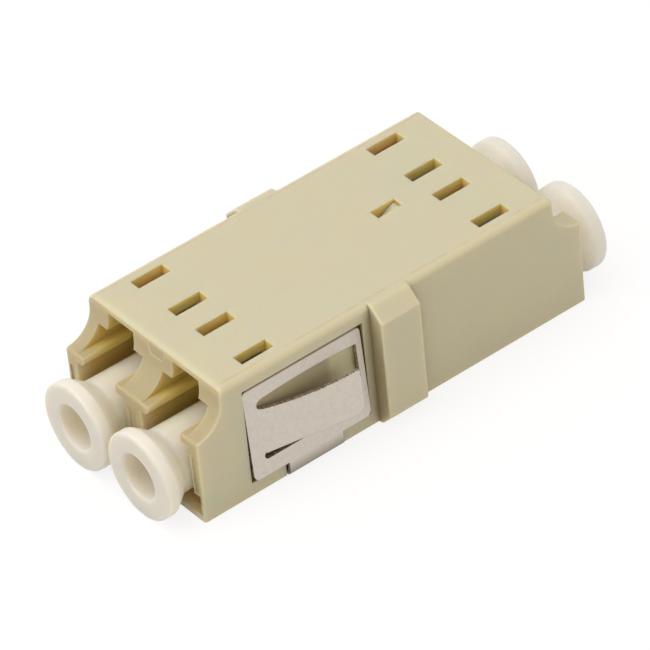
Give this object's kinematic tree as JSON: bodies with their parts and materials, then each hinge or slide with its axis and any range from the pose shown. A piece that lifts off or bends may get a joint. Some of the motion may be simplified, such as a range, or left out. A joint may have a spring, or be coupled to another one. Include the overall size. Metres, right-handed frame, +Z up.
{
  "type": "fibre adapter",
  "caption": "Duplex fibre adapter: block housing with a port pair at each end, side wings, a spring clip for a panel cut-out and flanged dust caps.",
  "frame": {"origin": "bottom centre of the housing: midway between the two ports and the two ends, on the underside", "axes": "+X across the two ports, +Y along the fibres towards the end away from the clip, +Z up towards the latch slots"},
  "size_m": [0.0152, 0.034, 0.009],
  "materials": {
    "housing_plastic": "fine satin moulding",
    "holder_plastic": "fine satin moulding",
    "cap_plastic": "soft, slightly waxy",
    "clip_steel": "satin rolled sheet with bare cut edges",
    "sleeve_bronze": "bright phosphor bronze"
  },
  "bodies": {
    "adapter": {"housing": "housing_plastic", "sleeve_holder": "holder_plastic", "split_sleeve_left": "sleeve_bronze", "split_sleeve_right": "sleeve_bronze", "mounting_clip": "clip_steel"},
    "cap_near_left": {"dust_cap_near_left": "cap_plastic"},
    "cap_near_right": {"dust_cap_near_right": "cap_plastic"},
    "cap_far_left": {"dust_cap_far_left": "cap_plastic"},
    "cap_far_right": {"dust_cap_far_right": "cap_plastic"}
  },
  "joints": [
    {"name": "cap_near_left_pull", "type": "slide", "parent": "adapter", "child": "cap_near_left", "axis": [0, -1, 0], "range_m": [0, 0.014]},
    {"name": "cap_near_right_pull", "type": "slide", "parent": "adapter", "child": "cap_near_right", "axis": [0, -1, 0], "range_m": [0, 0.014]},
    {"name": "cap_far_left_pull", "type": "slide", "parent": "adapter", "child": "cap_far_left", "axis": [0, 1, 0], "range_m": [0, 0.014]},
    {"name": "cap_far_right_pull", "type": "slide", "parent": "adapter", "child": "cap_far_right", "axis": [0, 1, 0], "range_m": [0, 0.014]}
  ]
}
